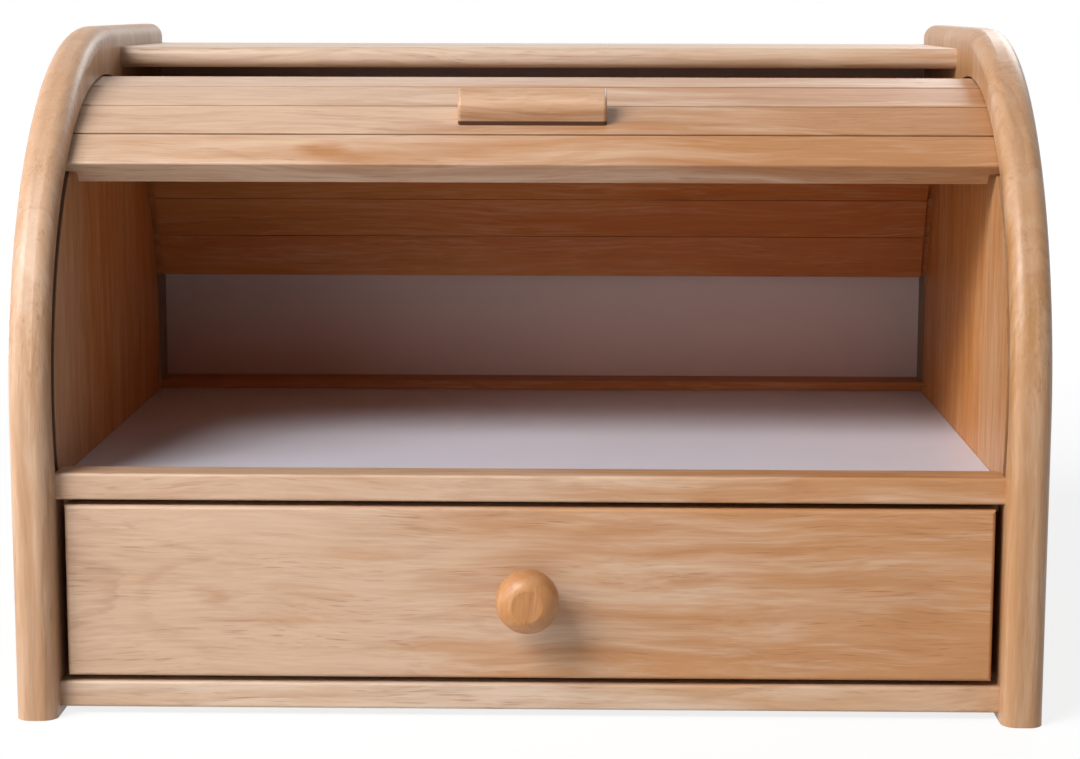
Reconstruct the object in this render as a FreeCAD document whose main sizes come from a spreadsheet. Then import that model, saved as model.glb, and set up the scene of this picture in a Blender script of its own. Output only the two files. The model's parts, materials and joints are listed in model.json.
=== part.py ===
"""Wooden bread box: a roll-top (tambour) bread compartment over a drawer.

Frame: +X to the right, +Y to the back, +Z up, millimetres. The origin is under the middle of the whole
box, on the surface that it stands on. Heights are given from that surface and depths from the side
panels' front edge.
"""

import FreeCAD, Part
import math
import os
import re

import Sketcher

Vector = FreeCAD.Vector

SIZES = {
    # case
    "case_width": 400.0,
    "case_depth": 276.0,
    "case_height": 267.0,
    "side_thickness": 16.0,
    "side_rounding": 6.0,
    "curve_wall": 27.6,
    "front_recess": 10.0,
    # rails and panels
    "base_clearance": 3.0,
    "shelf_height": 96.5,
    "rail_height": 10.5,
    "rail_rounding": 1.2,
    "front_rail_depth": 15.0,
    "rear_rail_depth": 19.0,
    "panel_thickness": 3.0,
    "panel_inset": 4.0,
    "panel_groove_depth": 5.0,
    "panel_play": 0.2,
    "back_rebate_width": 6.0,
    "back_set_in": 1.0,
    # top board
    "top_board_set_back": 35.5,
    "top_board_drop": 9.0,
    "top_board_thickness": 9.0,
    "top_board_rounding": 3.8,
    # dowels
    "dowel_diameter": 5.0,
    "dowel_length": 20.0,
    "dowel_play": 0.1,
    "hole_spare_depth": 0.5,
    "top_dowel_margin": 22.0,
    # tambour
    "tambour_front_gap": 9.1,
    "tambour_rear_gap": 22.1,
    "tambour_top_gap": 2.63,
    "slat_width": 21.4,
    "slat_gap": 0.3,
    "slat_thickness": 7.0,
    "slat_rounding": 0.9,
    "tongue_thickness": 4.8,
    "tongue_reach": 7.0,
    "shoulder_gap": 3.0,
    "lead_width": 17.9,
    "lead_thickness": 10.4,
    "lead_angle": 47.6,
    "groove_play": 0.45,
    "groove_end_play": 1.0,
    "groove_overrun": 1.0,
    "cord_diameter": 1.4,
    "cord_hole_diameter": 2.6,
    "cord_spacing": 250.0,
    "knot_diameter": 4.0,
    "knot_play": 0.6,
    "handle_length": 60.0,
    "handle_width": 12.0,
    "handle_height": 11.0,
    "handle_rise": 1.5,
    "handle_nose_radius": 5.5,
    "handle_rounding": 1.5,
    "handle_screw_spacing": 36.0,
    # drawer
    "drawer_side_gap": 3.2,
    "drawer_gap": 2.2,
    "drawer_rear_gap": 14.0,
    "drawer_front_thickness": 15.0,
    "drawer_side_thickness": 10.0,
    "drawer_back_thickness": 10.0,
    "drawer_side_drop": 4.0,
    "drawer_bottom_rise": 6.0,
    "drawer_front_rounding": 1.5,
    "drawer_dowel_rise": 9.0,
    "drawer_dowel_drop": 11.0,
    "drawer_dowel_skin": 4.0,
    "runner_width": 14.0,
    "kicker_width": 12.0,
    "slide_play": 0.3,
    "kicker_play": 0.6,
    # knob
    "knob_diameter": 24.5,
    "knob_length": 22.0,
    "knob_foot_diameter": 15.0,
    "knob_neck_diameter": 11.0,
    "knob_head_height": 11.0,
    "knob_foot_height": 1.5,
    "knob_rim_height": 3.0,
    "knob_crown_diameter": 12.0,
    # screws and pins
    "screw_diameter": 3.0,
    "screw_head_diameter": 6.0,
    "screw_head_height": 1.7,
    "screw_play": 0.1,
    "kicker_screw_length": 22.0,
    "kicker_screw_margin": 27.0,
    "handle_screw_length": 14.0,
    "knob_screw_length": 28.0,
    "pin_diameter": 1.4,
    "pin_play": 0.1,
    "pin_head_diameter": 3.0,
    "pin_head_height": 0.6,
    "pin_length": 14.0,
    "back_pin_margin": 15.0,
    "bottom_pin_spacing": 119.0,
}

# Sizes that follow from the others: the tambour's arc fills the case, and the side panels curve round it.
DERIVED = {
    "slat_face_radius": "(case_depth - tambour_front_gap - tambour_rear_gap) / 2",
    "slat_corner_radius": "sqrt(slat_face_radius ^ 2 + (slat_width / 2) ^ 2)",
    "arc_back": "tambour_front_gap + slat_face_radius",
    "arc_up": "case_height - top_board_drop - top_board_thickness - tambour_top_gap - slat_corner_radius",
    "curve_radius": "slat_face_radius + curve_wall",
}

SLAT_COUNT = 12  # the lead slat and eleven like ones
BACK_PIN_COUNT = 4  # along each rear rail
PAST = "1"  # how far a cut runs past the face where it starts

# Places that several pieces share, written in the sheet's names.
FRONT = "(-(case_depth + front_recess - knob_length) / 2)"
INNER = "(case_width / 2 - side_thickness)"
FACE = f"({FRONT} + front_recess)"
REAR = f"({FRONT} + case_depth)"
BACK_PANEL_FACE = f"({REAR} - back_set_in - panel_thickness)"
SHELF_RAIL_LOW = "(shelf_height - rail_height)"
BASE_RAIL_TOP = "(base_clearance + rail_height)"
TOP_BOARD_LOW = "(case_height - top_board_drop - top_board_thickness)"
AXIS_Y = f"({FRONT} + arc_back)"
TOP_BOARD_FRONT = f"({AXIS_Y} + top_board_set_back)"
TONGUE_RADIUS = "(slat_face_radius - tongue_thickness)"
CORD_RADIUS = "(slat_face_radius - slat_thickness / 2)"
LEAD_HALF_ANGLE = "atan((lead_width + slat_gap) / 2 / slat_face_radius)"
PITCH_ANGLE = "(2 * atan((slat_width + slat_gap) / 2 / slat_face_radius))"
LEAD_ANGLE = f"(lead_angle * 1 deg + {LEAD_HALF_ANGLE})"
GROOVE_LOW = "(shelf_height - groove_overrun)"
DRAWER_HALF = f"({INNER} - drawer_side_gap)"
DRAWER_LOW = f"({BASE_RAIL_TOP} + drawer_gap)"
DRAWER_TOP = f"({SHELF_RAIL_LOW} - drawer_gap)"
DRAWER_SIDE_TOP = f"({DRAWER_TOP} - drawer_side_drop)"
DRAWER_FRONT_BACK = f"({FACE} + drawer_front_thickness)"
DRAWER_END = f"({BACK_PANEL_FACE} - drawer_rear_gap)"
DRAWER_BOTTOM_LOW = f"({DRAWER_LOW} + drawer_bottom_rise)"
DRAWER_BOTTOM_TOP = f"({DRAWER_BOTTOM_LOW} + panel_thickness)"
RAIL_GROOVE = "(panel_groove_depth + panel_play)"
DOWEL_HOLE = "(dowel_diameter + dowel_play)"
DOWEL_DEPTH = "(dowel_length / 2 + hole_spare_depth)"
SCREW_HOLE = "(screw_diameter + screw_play)"
PIN_HOLE = "(pin_diameter + pin_play)"

document = FreeCAD.newDocument("bread_box")
sheet = document.addObject("Spreadsheet::Sheet", "Sizes")
for row, (alias, size) in enumerate(SIZES.items(), start=1):
    sheet.set(f"A{row}", alias)
    sheet.set(f"B{row}", str(size))
    sheet.setAlias(f"B{row}", alias)
ALIAS_WORDS = re.compile(r"\b(" + "|".join([*SIZES, *DERIVED]) + r")\b")
for row, (alias, formula) in enumerate(DERIVED.items(), start=len(SIZES) + 1):
    sheet.set(f"A{row}", alias)
    sheet.set(f"B{row}", f"={formula}")
    sheet.setAlias(f"B{row}", alias)
document.recompute()
pieces = []


def bind(item, **formulas):
    """Ties properties to formulas in the sheet's names; a double underscore stands for a dot."""
    for name, formula in formulas.items():
        item.setExpression(name.replace("__", "."), ALIAS_WORDS.sub(r"Sizes.\1", formula))


def value(formula):
    """What a formula comes to with the present sizes, to start a sketch or to pick an edge."""
    return float(sheet.evalExpression(ALIAS_WORDS.sub(r"Sizes.\1", formula)))


def place(item, x="0", y="0", z="0"):
    bind(item, Placement__Base__x=x, Placement__Base__y=y, Placement__Base__z=z)
    return item


def turn(item, axis, angle):
    """Turns an item about an axis through its own origin."""
    item.Placement.Rotation = FreeCAD.Rotation(axis, 1)
    bind(item, Placement__Rotation__Angle=angle)
    return item


def piece(item, label):
    item.Label = label
    pieces.append(item)
    return item


# ---- sketches and features -----------------------------------------------------------------------


def new_sketch(body, name, plane, shift=None):
    """A sketch on one of the body's origin planes, moved along that plane's normal."""
    sketch = body.newObject("Sketcher::SketchObject", name)
    support = [item for item in body.Origin.OriginFeatures if item.Role == plane][0]
    sketch.AttachmentSupport = (support, "")
    sketch.MapMode = "FlatFace"
    if shift:
        bind(sketch, AttachmentOffset__Base__z=shift)
    return sketch


def pin_point(sketch, geometry, position, across, up):
    """Holds a point of the sketch at a place from the sketch's origin."""
    point = sketch.getPoint(geometry, position)
    for kind, start, formula in (("DistanceX", point.x, across), ("DistanceY", point.y, up)):
        constraint = sketch.addConstraint(Sketcher.Constraint(kind, -1, 1, geometry, position, start))
        bind(sketch, **{f"Constraints[{constraint}]": formula})


def polygon(body, name, plane, corners, shift=None, bends=None):
    """A closed outline through corners.

    bends gives, by the number of the corner where a side starts, the radius of a side that is an arc,
    and 1 where it bows to the left of its direction or -1 where it bows to the right.
    """
    sketch = new_sketch(body, name, plane, shift)
    points = [Vector(value(across), value(up), 0) for across, up in corners]
    count = len(corners)
    for index, start in enumerate(points):
        end = points[(index + 1) % count]
        if bends and index in bends:
            radius, side = bends[index]
            chord = end - start
            left = Vector(-chord.y, chord.x, 0).normalize() * side
            rise = value(radius) - math.sqrt(value(radius) ** 2 - chord.Length ** 2 / 4)
            sketch.addGeometry(Part.Arc(start, start + chord / 2 + left * rise, end))
            constraint = sketch.addConstraint(Sketcher.Constraint("Radius", index, value(radius)))
            bind(sketch, **{f"Constraints[{constraint}]": radius})
        else:
            sketch.addGeometry(Part.LineSegment(start, end))
    starts = []
    for index, point in enumerate(points):
        starts.append(1 if near(sketch.getPoint(index, 1).distanceToPoint(point), 0) else 2)
    for index, (across, up) in enumerate(corners):
        after = (index + 1) % count
        end = 3 - starts[index]
        sketch.addConstraint(Sketcher.Constraint("Coincident", index, end, after, starts[after]))
        pin_point(sketch, index, starts[index], across, up)
    return sketch


def rectangle(body, name, plane, low, high, shift=None):
    corners = [low, (high[0], low[1]), high, (low[0], high[1])]
    return polygon(body, name, plane, corners, shift)


def circles(body, name, plane, centres, diameter, shift=None):
    """Circles of one diameter, apart from each other before they are held in place."""
    sketch = new_sketch(body, name, plane, shift)
    for index, (across, up) in enumerate(centres):
        circle = Part.Circle(Vector(10 * index, 0, 0), Vector(0, 0, 1), 1)
        sketch.addGeometry(circle)
        pin_point(sketch, index, 3, across, up)
        constraint = sketch.addConstraint(Sketcher.Constraint("Diameter", index, 2))
        bind(sketch, **{f"Constraints[{constraint}]": diameter})
    return sketch


def feature(body, kind, name, sketch, length, flipped=False, centred=False):
    """A pad or pocket of a sketch."""
    made = body.newObject(f"PartDesign::{kind}", name)
    made.Profile = sketch
    made.Reversed = flipped
    made.SideType = "Symmetric" if centred else "One side"
    bind(made, Length=length)
    return made


def round_edges(body, base, name, radius, wanted):
    """Rounds the edges of a feature that a test picks."""
    document.recompute()
    edges = enumerate(base.Shape.Edges, start=1)
    names = [f"Edge{number}" for number, edge in edges if wanted(edge.BoundBox)]
    if not names:
        raise RuntimeError(f"{body.Name}: no edge to round")
    rounding = body.newObject("PartDesign::Fillet", name)
    rounding.Base = (base, names)
    bind(rounding, Radius=radius)
    return rounding


def new_body(label):
    return piece(document.addObject("PartDesign::Body", label), label)


def near(first, second):
    return abs(first - second) < 1e-4


# ---- plain solids for boards, dowels and screws --------------------------------------------------


def box(x, y, z):
    """A box between (low, high) pairs."""
    made = document.addObject("Part::Box", "box")
    sizes = {}
    for name, (low, high) in zip(("Length", "Width", "Height"), (x, y, z)):
        sizes[name] = f"({high}) - ({low})"
    bind(made, **sizes)
    return place(made, x[0], y[0], z[0])


ALONG_X = (Vector(0, 1, 0), "90")
ALONG_Y = (Vector(1, 0, 0), "-90")
ALONG_BACK_X = (Vector(0, 1, 0), "-90")
ALONG_BACK_Y = (Vector(1, 0, 0), "90")
ALONG_Z = (Vector(0, 0, 1), "0")


def rod(diameter, length, spot, direction, bevel=None):
    """A cylinder from a spot along a direction, or a cone where a second diameter is given."""
    if bevel:
        made = document.addObject("Part::Cone", "cone")
        bind(made, Radius1=f"({diameter}) / 2", Radius2=f"({bevel}) / 2", Height=length)
    else:
        made = document.addObject("Part::Cylinder", "rod")
        bind(made, Radius=f"({diameter}) / 2", Height=length)
    turn(made, *direction)
    return place(made, *spot)


def joined(parts, name="group"):
    """One solid from several that touch."""
    made = document.addObject("Part::MultiFuse", name)
    made.Shapes = parts
    made.Refine = True
    return made


def group(label, parts):
    """Separate solids in one node."""
    made = document.addObject("Part::Compound", label)
    made.Links = parts
    return piece(made, label)


def board(label, x, y, z, cuts=()):
    """A board with pieces cut out of it."""
    blank = box(x, y, z)
    if not cuts:
        return piece(blank, label)
    made = document.addObject("Part::Cut", label)
    made.Base = blank
    made.Tool = joined(list(cuts), "cuts") if len(cuts) > 1 else cuts[0]
    made.Refine = True
    return piece(made, label)


def screw(length, spot, direction):
    """A countersunk screw from the middle of its flat head along a direction."""
    head = rod("screw_head_diameter", "screw_head_height", spot, direction, bevel="screw_diameter")
    shank = rod("screw_diameter", length, spot, direction)
    return joined([head, shank], "screw")


def screw_hole(length, spot, direction):
    """The countersunk hole for a screw, a little wider and deeper than the screw."""
    wide = "(screw_head_diameter + screw_play)"
    head = rod(wide, "screw_head_height", spot, direction, bevel=SCREW_HOLE)
    shank = rod(SCREW_HOLE, f"({length} + hole_spare_depth)", spot, direction)
    return joined([head, shank], "screw_hole")


def mirrored(hand, formula):
    return f"({hand}) * ({formula})"


def between(hand, low, high):
    """A (low, high) pair for a stretch given from the middle outwards, on the side that hand says."""
    return (low, high) if hand > 0 else (f"-({high})", f"-({low})")


def solid_check(item):
    """Stops the build where a feature failed or a shape is missing."""
    if "Invalid" in item.State or "Error" in item.State:
        raise RuntimeError(f"{item.Name} ({item.Label}): {item.State}")


# ---- places of the dowels and screws -------------------------------------------------------------

FRONT_RAIL_BACK = f"({FACE} + front_rail_depth)"
REAR_RAIL_FRONT = f"({BACK_PANEL_FACE} - rear_rail_depth)"
FRONT_DOWEL_Y = f"({FACE} + (front_rail_depth - {RAIL_GROOVE}) / 2)"
REAR_DOWEL_Y = f"({BACK_PANEL_FACE} - (rear_rail_depth - {RAIL_GROOVE}) / 2)"
SHELF_DOWEL_Z = "(shelf_height - rail_height / 2)"
BASE_DOWEL_Z = "(base_clearance + rail_height / 2)"
TOP_DOWEL_Z = f"({TOP_BOARD_LOW} + top_board_thickness / 2)"
RAIL_DOWELS = [(y, z) for y in (FRONT_DOWEL_Y, REAR_DOWEL_Y) for z in (SHELF_DOWEL_Z, BASE_DOWEL_Z)]
TOP_DOWELS = [
    (f"({TOP_BOARD_FRONT} + top_dowel_margin)", TOP_DOWEL_Z),
    (f"({REAR} - top_dowel_margin)", TOP_DOWEL_Z),
]
SHELF_PANEL_TOP = "(shelf_height - panel_inset)"
SHELF_PANEL_LOW = f"({SHELF_PANEL_TOP} - panel_thickness)"
BASE_PANEL_TOP = f"({BASE_RAIL_TOP} - panel_inset)"
KICKER_LOW = f"({DRAWER_SIDE_TOP} + kicker_play)"
KICKER_SCREW_Z = f"(({KICKER_LOW} + {SHELF_PANEL_LOW}) / 2)"
KICKER_SCREWS = [
    (f"({FRONT_RAIL_BACK} + kicker_screw_margin)", KICKER_SCREW_Z),
    (f"({REAR_RAIL_FRONT} - kicker_screw_margin)", KICKER_SCREW_Z),
]
DRAWER_DOWELS_Z = (
    f"({DRAWER_BOTTOM_TOP} + drawer_dowel_rise)",
    f"({DRAWER_SIDE_TOP} - drawer_dowel_drop)",
)
DRAWER_DOWEL_X = f"({DRAWER_HALF} - drawer_side_thickness / 2)"
DRAWER_BACK_Y = f"({DRAWER_END} - drawer_back_thickness / 2)"
DRAWER_BACK_BITE = "(drawer_side_thickness - drawer_dowel_skin)"
DRAWER_INSIDE = f"({DRAWER_HALF} - drawer_side_thickness)"
KNOB_Z = f"(({DRAWER_LOW} + {DRAWER_TOP}) / 2)"


def spread(count, low, high):
    """Formulas of evenly spaced places from low to high."""
    return [f"({low} + ({high} - ({low})) * {step} / {count - 1})" for step in range(count)]


BACK_PIN_X = spread(BACK_PIN_COUNT, f"(back_pin_margin - {INNER})", f"({INNER} - back_pin_margin)")
BACK_PIN_PLACES = [(x, z) for z in (SHELF_DOWEL_Z, BASE_DOWEL_Z) for x in BACK_PIN_X]


# ---- case ----------------------------------------------------------------------------------------


def side_outline(body):
    """Straight front, a quarter circle over it, flat top, straight back."""
    sketch = new_sketch(body, "outline", "YZ_Plane")
    depth, height, radius = value("case_depth"), value("case_height"), value("curve_radius")
    foot, heel, back = Vector(0, 0, 0), Vector(depth, 0, 0), Vector(depth, height, 0)
    crown, brow = Vector(radius, height, 0), Vector(0, height - radius, 0)
    for line in ((foot, heel), (heel, back), (back, crown)):
        sketch.addGeometry(Part.LineSegment(*line))
    curve = Part.Circle(Vector(radius, height - radius, 0), Vector(0, 0, 1), radius)
    sketch.addGeometry(Part.ArcOfCircle(curve, math.pi / 2, math.pi))
    sketch.addGeometry(Part.LineSegment(brow, foot))
    for first, second in ((0, 1), (1, 2), (4, 0)):
        sketch.addConstraint(Sketcher.Constraint("Coincident", first, 2, second, 1))
    sketch.addConstraint(Sketcher.Constraint("Tangent", 2, 2, 3, 1))
    sketch.addConstraint(Sketcher.Constraint("Tangent", 3, 2, 4, 1))
    constraint = sketch.addConstraint(Sketcher.Constraint("Radius", 3, radius))
    bind(sketch, **{f"Constraints[{constraint}]": "curve_radius"})
    pin_point(sketch, 0, 1, "0", "0")
    pin_point(sketch, 1, 1, "case_depth", "0")
    pin_point(sketch, 2, 1, "case_depth", "case_height")
    sketch.addConstraint(Sketcher.Constraint("Horizontal", 2))
    sketch.addConstraint(Sketcher.Constraint("Vertical", 4))
    return sketch


def tambour_groove(body):
    """The track of the slats' tongues: two arcs about one centre, cut off level at the shelf rails."""
    sketch = new_sketch(body, "tambour_groove", "YZ_Plane")
    centre = Vector(value("arc_back"), value("arc_up"), 0)
    fall = value("arc_up") - value("shelf_height") + value("groove_overrun")
    outer = value("slat_corner_radius") + value("groove_play")
    inner = value("slat_face_radius") - value("tongue_thickness") - value("groove_play")
    ends = []
    for radius, formula in (
        (outer, "slat_corner_radius + groove_play"),
        (inner, f"{TONGUE_RADIUS} - groove_play"),
    ):
        dip = math.asin(fall / radius)
        circle = Part.Circle(centre, Vector(0, 0, 1), radius)
        arc = sketch.addGeometry(Part.ArcOfCircle(circle, -dip, math.pi + dip))
        constraint = sketch.addConstraint(Sketcher.Constraint("Radius", arc, radius))
        bind(sketch, **{f"Constraints[{constraint}]": formula})
        curve = sketch.Geometry[arc]
        ends.append((curve.StartPoint, curve.EndPoint))
    for position in (1, 2):
        line = Part.LineSegment(ends[1][position - 1], ends[0][position - 1])
        number = sketch.addGeometry(line)
        sketch.addConstraint(Sketcher.Constraint("Coincident", number, 1, 1, position))
        sketch.addConstraint(Sketcher.Constraint("Coincident", number, 2, 0, position))
        sketch.addConstraint(Sketcher.Constraint("Horizontal", number))
        height = line.StartPoint.y
        level = sketch.addConstraint(Sketcher.Constraint("DistanceY", -1, 1, number, 1, height))
        bind(sketch, **{f"Constraints[{level}]": GROOVE_LOW})
    sketch.addConstraint(Sketcher.Constraint("Coincident", 0, 3, 1, 3))
    pin_point(sketch, 0, 3, "arc_back", "arc_up")
    return sketch


def from_front(spots):
    """Places given from the side panels' front edge."""
    return [(f"{y} - {FRONT}", z) for y, z in spots]


def side_panel(label, hand):
    """A side panel, worked from its inner face, which lies on the body's own YZ plane."""
    body = new_body(label)
    place(body, mirrored(hand, INNER), FRONT)
    outline = side_outline(body)
    blank = feature(body, "Pad", "blank", outline, "side_thickness", flipped=hand < 0)

    def on_front_or_top(edge):
        along_face = near(edge.XMin, edge.XMax)
        at_back_or_foot = near(edge.YMin, value("case_depth")) or near(edge.ZMax, 0)
        return along_face and not at_back_or_foot

    round_edges(body, blank, "rounding", "side_rounding", on_front_or_top)
    groove = tambour_groove(body)
    feature(body, "Pocket", "groove", groove, "tongue_reach + groove_end_play", flipped=hand > 0)
    rebate_front = "case_depth - back_set_in - panel_thickness"
    low, high = (rebate_front, f"-{PAST}"), (f"case_depth + {PAST}", TOP_BOARD_LOW)
    rebate = rectangle(body, "rebate_outline", "YZ_Plane", low, high)
    feature(body, "Pocket", "rebate", rebate, "back_rebate_width", flipped=hand > 0)
    spots = from_front(RAIL_DOWELS + TOP_DOWELS)
    dowels = circles(body, "dowel_places", "YZ_Plane", spots, DOWEL_HOLE)
    feature(body, "Pocket", "dowel_holes", dowels, DOWEL_DEPTH, flipped=hand > 0)
    screws = circles(body, "screw_places", "YZ_Plane", from_front(KICKER_SCREWS), SCREW_HOLE)
    depth = "kicker_screw_length - kicker_width + hole_spare_depth"
    feature(body, "Pocket", "screw_holes", screws, depth, flipped=hand > 0)


def end_dowel_holes(body, places):
    """Dowel holes in both ends of a piece that runs between the side panels."""
    for hand in (-1, 1):
        spots = circles(body, "dowel_places", "YZ_Plane", places, DOWEL_HOLE, mirrored(hand, INNER))
        feature(body, "Pocket", "dowel_holes", spots, DOWEL_DEPTH, flipped=hand < 0)


def long_edge_at(front_place):
    """A test for the edges that run from side to side at the front of a piece."""
    return lambda edge: near(edge.YMin, front_place) and near(edge.YMax, front_place) and edge.XLength > 1


def rail(label, low, front, depth, groove_at_back, dowel_y, dowel_z):
    """A rail between the side panels, with a groove for a panel's edge and a dowel hole in each end."""
    body = new_body(label)
    back = f"({front} + {depth})"
    top = f"({low} + rail_height)"
    groove_top = f"({top} - panel_inset + panel_play / 2)"
    groove_low = f"({top} - panel_inset - panel_thickness - panel_play / 2)"
    if groove_at_back:
        floor = f"({back} - {RAIL_GROOVE})"
        notch = [(back, groove_low), (floor, groove_low), (floor, groove_top), (back, groove_top)]
        corners = [(front, low), (back, low), *notch, (back, top), (front, top)]
    else:
        floor = f"({front} + {RAIL_GROOVE})"
        notch = [(front, groove_top), (floor, groove_top), (floor, groove_low), (front, groove_low)]
        corners = [(front, low), (back, low), (back, top), (front, top), *notch]
    section = polygon(body, "section", "YZ_Plane", corners)
    blank = feature(body, "Pad", "blank", section, f"2 * {INNER}", centred=True)
    if groove_at_back:
        document.recompute()
        front_place = min(vertex.Y for vertex in blank.Shape.Vertexes)
        round_edges(body, blank, "rounding", "rail_rounding", long_edge_at(front_place))
    else:
        pins = [(x, dowel_z) for x in BACK_PIN_X]
        spots = circles(body, "pin_places", "XZ_Plane", pins, PIN_HOLE, f"-{BACK_PANEL_FACE}")
        depth = "pin_length - panel_thickness + hole_spare_depth"
        feature(body, "Pocket", "pin_holes", spots, depth, flipped=True)
    end_dowel_holes(body, [(dowel_y, dowel_z)])


def top_board():
    """The board at the back of the top, with a rounded front edge."""
    body = new_body("top_board")
    low, high = TOP_BOARD_LOW, "(case_height - top_board_drop)"
    section = rectangle(body, "section", "YZ_Plane", (TOP_BOARD_FRONT, low), (REAR, high))
    blank = feature(body, "Pad", "blank", section, f"2 * {INNER}", centred=True)
    document.recompute()
    front_place = min(vertex.Y for vertex in blank.Shape.Vertexes)
    round_edges(body, blank, "rounding", "top_board_rounding", long_edge_at(front_place))
    end_dowel_holes(body, TOP_DOWELS)


def panel(label, top):
    """A thin white panel that lies in the grooves of the rails before and behind it."""
    half = f"({INNER} - panel_play)"
    board(
        label,
        (f"-{half}", half),
        (f"({FRONT_RAIL_BACK} - panel_groove_depth)", f"({REAR_RAIL_FRONT} + panel_groove_depth)"),
        (f"({top} - panel_thickness)", top),
    )


def pin(spot, direction, head_spot):
    """A nail with a flat head that stands on a face; the shank runs from the face along a direction."""
    head = rod("pin_head_diameter", "pin_head_height", head_spot, direction)
    shank = rod("pin_diameter", "pin_length", spot, direction)
    return joined([head, shank], "pin")


def pan_screw(length, spot, direction, head_spot):
    """A screw whose flat-bottomed head stands on a face; the shank runs from it along a direction."""
    head = rod("screw_head_diameter", "screw_head_height", head_spot, direction)
    shank = rod("screw_diameter", length, spot, direction)
    return joined([head, shank], "screw")


def back_panel():
    """A thin panel in the side panels' rebates, pinned to the rear rails."""
    outside = f"({REAR} - back_set_in)"
    half = f"({INNER} + back_rebate_width - panel_play)"
    depth = f"panel_thickness + 2 * {PAST}"
    start = f"({outside} + {PAST})"
    holes = [rod(PIN_HOLE, depth, (x, start, z), ALONG_BACK_Y) for x, z in BACK_PIN_PLACES]
    board(
        "back_panel",
        (f"-{half}", half),
        (BACK_PANEL_FACE, outside),
        ("base_clearance", f"({TOP_BOARD_LOW} - panel_play)"),
        holes,
    )
    head_y = f"({outside} + pin_head_height)"
    pins = [pin((x, outside, z), ALONG_BACK_Y, (x, head_y, z)) for x, z in BACK_PIN_PLACES]
    group("back_panel_pins", pins)


def case_dowels():
    for label, places in (("rail_dowels", RAIL_DOWELS), ("top_board_dowels", TOP_DOWELS)):
        dowels = []
        for hand in (-1, 1):
            start = f"({mirrored(hand, INNER)} - dowel_length / 2)"
            dowels += [rod("dowel_diameter", "dowel_length", (start, y, z), ALONG_X) for y, z in places]
        group(label, dowels)


def runners_and_kickers():
    """Strips on each side: the drawer slides on the runner and is kept level by the kicker."""
    stretch = (f"({FRONT_RAIL_BACK} + panel_play)", f"({REAR_RAIL_FRONT} - panel_play)")
    screws = []
    for side, hand in (("left", -1), ("right", 1)):
        board(
            f"drawer_runner_{side}",
            between(hand, f"({INNER} - runner_width)", INNER),
            stretch,
            (BASE_PANEL_TOP, f"({DRAWER_LOW} - slide_play)"),
        )
        direction = ALONG_X if hand > 0 else ALONG_BACK_X
        face = mirrored(hand, f"({INNER} - kicker_width)")
        board(
            f"drawer_kicker_{side}",
            between(hand, f"({INNER} - kicker_width)", INNER),
            stretch,
            (KICKER_LOW, SHELF_PANEL_LOW),
            [screw_hole("kicker_screw_length", (face, y, z), direction) for y, z in KICKER_SCREWS],
        )
        screws += [screw("kicker_screw_length", (face, y, z), direction) for y, z in KICKER_SCREWS]
    group("kicker_screws", screws)


def case():
    side_panel("side_left", -1)
    side_panel("side_right", 1)
    levels = (("shelf", SHELF_RAIL_LOW, SHELF_DOWEL_Z), ("base", "base_clearance", BASE_DOWEL_Z))
    for name, low, dowel_z in levels:
        rail(f"{name}_front_rail", low, FACE, "front_rail_depth", True, FRONT_DOWEL_Y, dowel_z)
        rail(f"{name}_rear_rail", low, REAR_RAIL_FRONT, "rear_rail_depth", False, REAR_DOWEL_Y, dowel_z)
    panel("shelf_panel", SHELF_PANEL_TOP)
    panel("base_panel", BASE_PANEL_TOP)
    top_board()
    back_panel()
    case_dowels()
    runners_and_kickers()


# ---- tambour -------------------------------------------------------------------------------------
# A slat is worked standing over the axis of the arc: its own X is along the slat, Z is out from the
# axis, and Y runs towards the tail of the tambour.


def slat_section(body, name, width, low):
    """A section with sides that point at the axis, from the outer face in to a radius."""
    inner_half = f"({width} / 2 * {low} / slat_face_radius)"
    outer_half = f"({width} / 2)"
    corners = [
        (f"-{inner_half}", low),
        (inner_half, low),
        (outer_half, "slat_face_radius"),
        (f"-{outer_half}", "slat_face_radius"),
    ]
    return polygon(body, name, "YZ_Plane", corners)


def slat_angle(number):
    """The angle of a slat's middle above the front horizontal."""
    if number == 1:
        return LEAD_ANGLE
    return f"({LEAD_ANGLE} + {LEAD_HALF_ANGLE} + {PITCH_ANGLE} * {number - 1.5})"


def set_on_arc(item, angle):
    turn(item, Vector(1, 0, 0), f"90 deg - {angle}")
    return place(item, "0", AXIS_Y, "arc_up")


CORD_PLACES = [(x, CORD_RADIUS) for x in ("-cord_spacing / 2", "cord_spacing / 2")]
HANDLE_SCREWS = [(x, "handle_rise") for x in ("-handle_screw_spacing / 2", "handle_screw_spacing / 2")]


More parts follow.
